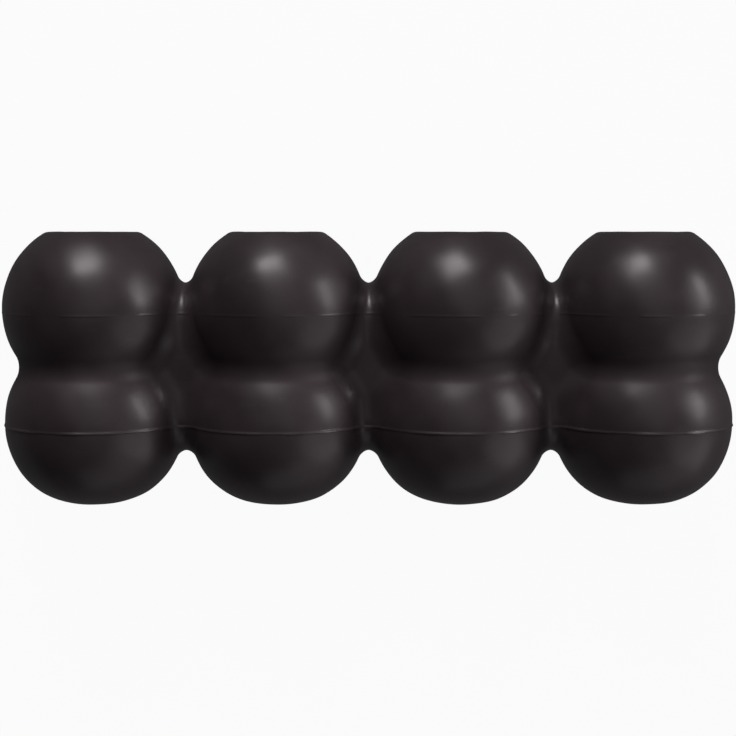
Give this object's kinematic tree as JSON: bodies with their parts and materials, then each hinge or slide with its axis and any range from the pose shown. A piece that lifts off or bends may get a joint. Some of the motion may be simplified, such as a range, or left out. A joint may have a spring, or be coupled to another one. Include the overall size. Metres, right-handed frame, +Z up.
{
  "type": "rubber treat chew toy",
  "caption": "Row of hollow two-ball rubber columns joined by flexible webs, each with a flat mouth whose flaps grip a stuffed treat.",
  "frame": {"origin": "on the floor under the middle of the toy's outline, as it lies on its side", "axes": "+X along the row of columns, +Y along the columns towards their mouths, +Z up"},
  "size_m": [0.179, 0.067, 0.0441],
  "materials": {
    "moulded_rubber": "satin black moulded rubber"
  },
  "bodies": {
    "column_1": {"treat_column_1": "moulded_rubber"},
    "column_2": {"treat_column_2": "moulded_rubber", "flex_web_1": "moulded_rubber", "flex_web_2": "moulded_rubber"},
    "column_3": {"treat_column_3": "moulded_rubber", "flex_web_3": "moulded_rubber"},
    "column_4": {"treat_column_4": "moulded_rubber"},
    "flap_1_right": {"port_flap_1_right": "moulded_rubber"},
    "flap_1_top": {"port_flap_1_top": "moulded_rubber"},
    "flap_1_left": {"port_flap_1_left": "moulded_rubber"},
    "flap_1_bottom": {"port_flap_1_bottom": "moulded_rubber"},
    "flap_2_right": {"port_flap_2_right": "moulded_rubber"},
    "flap_2_top": {"port_flap_2_top": "moulded_rubber"},
    "flap_2_left": {"port_flap_2_left": "moulded_rubber"},
    "flap_2_bottom": {"port_flap_2_bottom": "moulded_rubber"},
    "flap_3_right": {"port_flap_3_right": "moulded_rubber"},
    "flap_3_top": {"port_flap_3_top": "moulded_rubber"},
    "flap_3_left": {"port_flap_3_left": "moulded_rubber"},
    "flap_3_bottom": {"port_flap_3_bottom": "moulded_rubber"},
    "flap_4_right": {"port_flap_4_right": "moulded_rubber"},
    "flap_4_top": {"port_flap_4_top": "moulded_rubber"},
    "flap_4_left": {"port_flap_4_left": "moulded_rubber"},
    "flap_4_bottom": {"port_flap_4_bottom": "moulded_rubber"}
  },
  "joints": [
    {"name": "web_1_bend", "type": "hinge", "parent": "column_2", "child": "column_1", "pos_m": [-0.045, 0, 0.02205], "axis": [0, 1, 0], "range_deg": [-10, 10], "stiffness_Nm_per_rad": 10, "deforming": ["flex_web_1"]},
    {"name": "web_2_bend", "type": "hinge", "parent": "column_2", "child": "column_3", "pos_m": [0, 0, 0.02205], "axis": [0, -1, 0], "range_deg": [-10, 10], "stiffness_Nm_per_rad": 10, "deforming": ["flex_web_2"]},
    {"name": "web_3_bend", "type": "hinge", "parent": "column_3", "child": "column_4", "pos_m": [0.045, 0, 0.02205], "axis": [0, -1, 0], "range_deg": [-10, 10], "stiffness_Nm_per_rad": 10, "deforming": ["flex_web_3"]},
    {"name": "flap_1_right_bend", "type": "hinge", "parent": "column_1", "child": "flap_1_right", "pos_m": [-0.0609, 0.02799, 0.02205], "axis": [0, 0, 1], "range_deg": [-35, 60], "stiffness_Nm_per_rad": 0.0065},
    {"name": "flap_1_top_bend", "type": "hinge", "parent": "column_1", "child": "flap_1_top", "pos_m": [-0.0675, 0.02799, 0.02865], "axis": [-1, 0, 0], "range_deg": [-35, 60], "stiffness_Nm_per_rad": 0.0065},
    {"name": "flap_1_left_bend", "type": "hinge", "parent": "column_1", "child": "flap_1_left", "pos_m": [-0.0741, 0.02799, 0.02205], "axis": [0, 0, -1], "range_deg": [-35, 60], "stiffness_Nm_per_rad": 0.0065},
    {"name": "flap_1_bottom_bend", "type": "hinge", "parent": "column_1", "child": "flap_1_bottom", "pos_m": [-0.0675, 0.02799, 0.01545], "axis": [1, 0, 0], "range_deg": [-35, 60], "stiffness_Nm_per_rad": 0.0065},
    {"name": "flap_2_right_bend", "type": "hinge", "parent": "column_2", "child": "flap_2_right", "pos_m": [-0.0159, 0.02799, 0.02205], "axis": [0, 0, 1], "range_deg": [-35, 60], "stiffness_Nm_per_rad": 0.0065},
    {"name": "flap_2_top_bend", "type": "hinge", "parent": "column_2", "child": "flap_2_top", "pos_m": [-0.0225, 0.02799, 0.02865], "axis": [-1, 0, 0], "range_deg": [-35, 60], "stiffness_Nm_per_rad": 0.0065},
    {"name": "flap_2_left_bend", "type": "hinge", "parent": "column_2", "child": "flap_2_left", "pos_m": [-0.0291, 0.02799, 0.02205], "axis": [0, 0, -1], "range_deg": [-35, 60], "stiffness_Nm_per_rad": 0.0065},
    {"name": "flap_2_bottom_bend", "type": "hinge", "parent": "column_2", "child": "flap_2_bottom", "pos_m": [-0.0225, 0.02799, 0.01545], "axis": [1, 0, 0], "range_deg": [-35, 60], "stiffness_Nm_per_rad": 0.0065},
    {"name": "flap_3_right_bend", "type": "hinge", "parent": "column_3", "child": "flap_3_right", "pos_m": [0.0291, 0.02799, 0.02205], "axis": [0, 0, 1], "range_deg": [-35, 60], "stiffness_Nm_per_rad": 0.0065},
    {"name": "flap_3_top_bend", "type": "hinge", "parent": "column_3", "child": "flap_3_top", "pos_m": [0.0225, 0.02799, 0.02865], "axis": [-1, 0, 0], "range_deg": [-35, 60], "stiffness_Nm_per_rad": 0.0065},
    {"name": "flap_3_left_bend", "type": "hinge", "parent": "column_3", "child": "flap_3_left", "pos_m": [0.0159, 0.02799, 0.02205], "axis": [0, 0, -1], "range_deg": [-35, 60], "stiffness_Nm_per_rad": 0.0065},
    {"name": "flap_3_bottom_bend", "type": "hinge", "parent": "column_3", "child": "flap_3_bottom", "pos_m": [0.0225, 0.02799, 0.01545], "axis": [1, 0, 0], "range_deg": [-35, 60], "stiffness_Nm_per_rad": 0.0065},
    {"name": "flap_4_right_bend", "type": "hinge", "parent": "column_4", "child": "flap_4_right", "pos_m": [0.0741, 0.02799, 0.02205], "axis": [0, 0, 1], "range_deg": [-35, 60], "stiffness_Nm_per_rad": 0.0065},
    {"name": "flap_4_top_bend", "type": "hinge", "parent": "column_4", "child": "flap_4_top", "pos_m": [0.0675, 0.02799, 0.02865], "axis": [-1, 0, 0], "range_deg": [-35, 60], "stiffness_Nm_per_rad": 0.0065},
    {"name": "flap_4_left_bend", "type": "hinge", "parent": "column_4", "child": "flap_4_left", "pos_m": [0.0609, 0.02799, 0.02205], "axis": [0, 0, -1], "range_deg": [-35, 60], "stiffness_Nm_per_rad": 0.0065},
    {"name": "flap_4_bottom_bend", "type": "hinge", "parent": "column_4", "child": "flap_4_bottom", "pos_m": [0.0675, 0.02799, 0.01545], "axis": [1, 0, 0], "range_deg": [-35, 60], "stiffness_Nm_per_rad": 0.0065}
  ],
  "couplings": [
    {"joint": "flap_1_top_bend", "follows": "flap_1_right_bend", "ratio": 1},
    {"joint": "flap_1_left_bend", "follows": "flap_1_right_bend", "ratio": 1},
    {"joint": "flap_1_bottom_bend", "follows": "flap_1_right_bend", "ratio": 1},
    {"joint": "flap_2_top_bend", "follows": "flap_2_right_bend", "ratio": 1},
    {"joint": "flap_2_left_bend", "follows": "flap_2_right_bend", "ratio": 1},
    {"joint": "flap_2_bottom_bend", "follows": "flap_2_right_bend", "ratio": 1},
    {"joint": "flap_3_top_bend", "follows": "flap_3_right_bend", "ratio": 1},
    {"joint": "flap_3_left_bend", "follows": "flap_3_right_bend", "ratio": 1},
    {"joint": "flap_3_bottom_bend", "follows": "flap_3_right_bend", "ratio": 1},
    {"joint": "flap_4_top_bend", "follows": "flap_4_right_bend", "ratio": 1},
    {"joint": "flap_4_left_bend", "follows": "flap_4_right_bend", "ratio": 1},
    {"joint": "flap_4_bottom_bend", "follows": "flap_4_right_bend", "ratio": 1}
  ]
}
